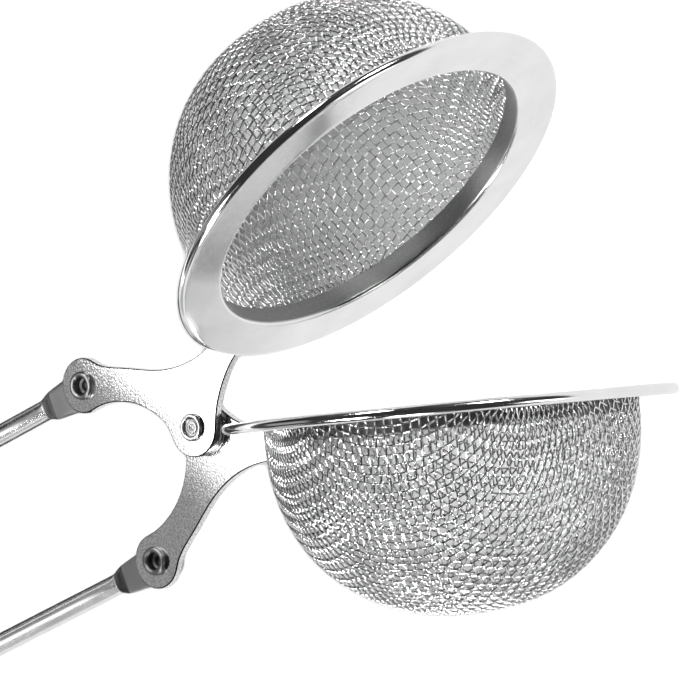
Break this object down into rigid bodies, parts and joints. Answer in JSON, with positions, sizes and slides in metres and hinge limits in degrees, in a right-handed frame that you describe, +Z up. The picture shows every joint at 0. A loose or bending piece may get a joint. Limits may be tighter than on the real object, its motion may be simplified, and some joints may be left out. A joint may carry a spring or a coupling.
{
  "type": "tea infuser",
  "caption": "Snap-ball tea infuser: two woven-mesh half-balls in rim rings on riveted arms, opened by squeezing a U-bent spring wire handle.",
  "frame": {"origin": "centre of the footprint on the surface it lies on, both rims and the handle bend touching z = 0", "axes": "+X from the handle bend towards the bowls, +Y from the lower bowl towards the upper bowl, +Z up; the rivet axes lean about 9 degrees from +Z towards -X"},
  "size_m": [0.1678, 0.0708, 0.0501],
  "materials": {
    "rim_steel": "polished",
    "mesh_steel": "bright drawn wire",
    "plate_steel": "satin tumbled",
    "rivet_steel": "plain",
    "wire_steel": "polished"
  },
  "bodies": {
    "handle_bend": {"handle_bend": "wire_steel"},
    "upper_leg": {"upper_handle_leg": "wire_steel"},
    "lower_leg": {"lower_handle_leg": "wire_steel"},
    "upper_jaw": {"upper_rim_ring": "rim_steel", "upper_retaining_ring": "rim_steel", "upper_mesh_bowl": "mesh_steel", "upper_arm_plate": "plate_steel", "upper_arm_weld": "plate_steel", "upper_handle_rivet": "rivet_steel", "upper_handle_rivet_washer": "rivet_steel", "pivot_rivet": "rivet_steel", "pivot_spacer_washer": "rivet_steel", "pivot_back_washer": "rivet_steel"},
    "lower_jaw": {"lower_rim_ring": "rim_steel", "lower_retaining_ring": "rim_steel", "lower_mesh_bowl": "mesh_steel", "lower_arm_plate": "plate_steel", "lower_arm_weld": "plate_steel", "lower_handle_rivet": "rivet_steel", "lower_handle_rivet_washer": "rivet_steel"}
  },
  "joints": [
    {"name": "jaw_pivot", "type": "hinge", "parent": "upper_jaw", "child": "lower_jaw", "pos_m": [0.026, -0.0013, 0.0197], "axis": [0.157, 0, -0.9876], "range_deg": [-39, 8]},
    {"name": "upper_leg_flex", "type": "hinge", "parent": "handle_bend", "child": "upper_leg", "pos_m": [-0.07193, 0.00924, 0.00383], "axis": [-0.157, 0, 0.9876], "range_deg": [-0.7, 3.02]},
    {"name": "lower_leg_flex", "type": "hinge", "parent": "handle_bend", "child": "lower_leg", "pos_m": [-0.07169, -0.01285, 0.00235], "axis": [-0.157, 0, 0.9876], "range_deg": [-2.32, 0.56]},
    {"name": "upper_handle_pivot", "type": "hinge", "parent": "upper_leg", "child": "upper_jaw", "pos_m": [0.01262, 0.00924, 0.01727], "axis": [-0.157, 0, 0.9876], "range_deg": [-22.72, 4.9]}
  ],
  "couplings": [
    {"joint": "upper_leg_flex", "follows": "jaw_pivot", "ratio": -0.075},
    {"joint": "lower_leg_flex", "follows": "jaw_pivot", "ratio": 0.057},
    {"joint": "upper_handle_pivot", "follows": "jaw_pivot", "ratio": 0.575}
  ]
}
